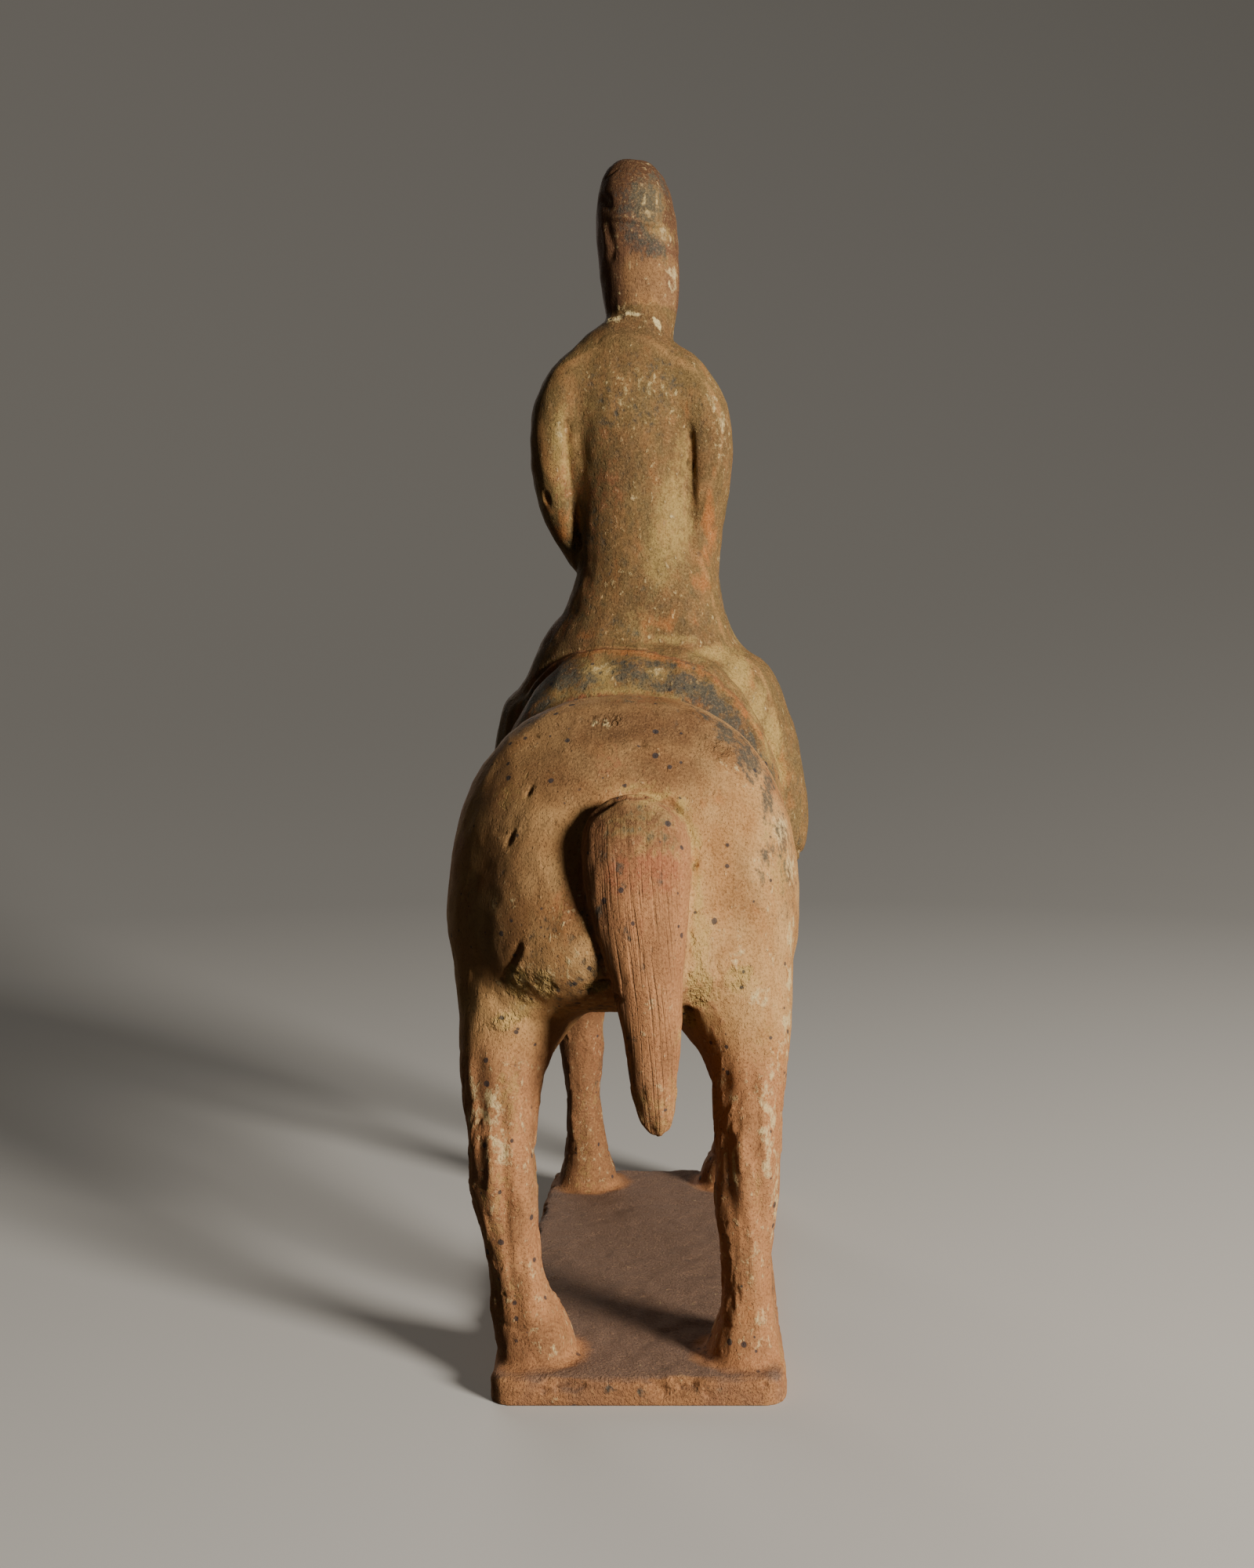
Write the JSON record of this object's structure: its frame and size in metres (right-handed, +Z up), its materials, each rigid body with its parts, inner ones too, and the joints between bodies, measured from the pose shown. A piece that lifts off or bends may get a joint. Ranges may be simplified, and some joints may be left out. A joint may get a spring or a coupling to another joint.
{
  "type": "horse and rider figure",
  "caption": "Fired clay tomb figure of a hooded rider sitting on a standing horse, one piece with the thin slab under its hooves.",
  "frame": {"origin": "middle of the slab's flat underside, on the surface that the figure stands on", "axes": "+Z up, +Y the way the horse and the rider face, +X to their right"},
  "size_m": [0.1172, 0.2814, 0.3911],
  "materials": {
    "fired_clay": "unglazed orange fired clay, matt, with worn ochre and white slip, grey pigment and small dark specks"
  },
  "bodies": {
    "root": {"horse_and_rider": "fired_clay"}
  },
  "joints": []
}
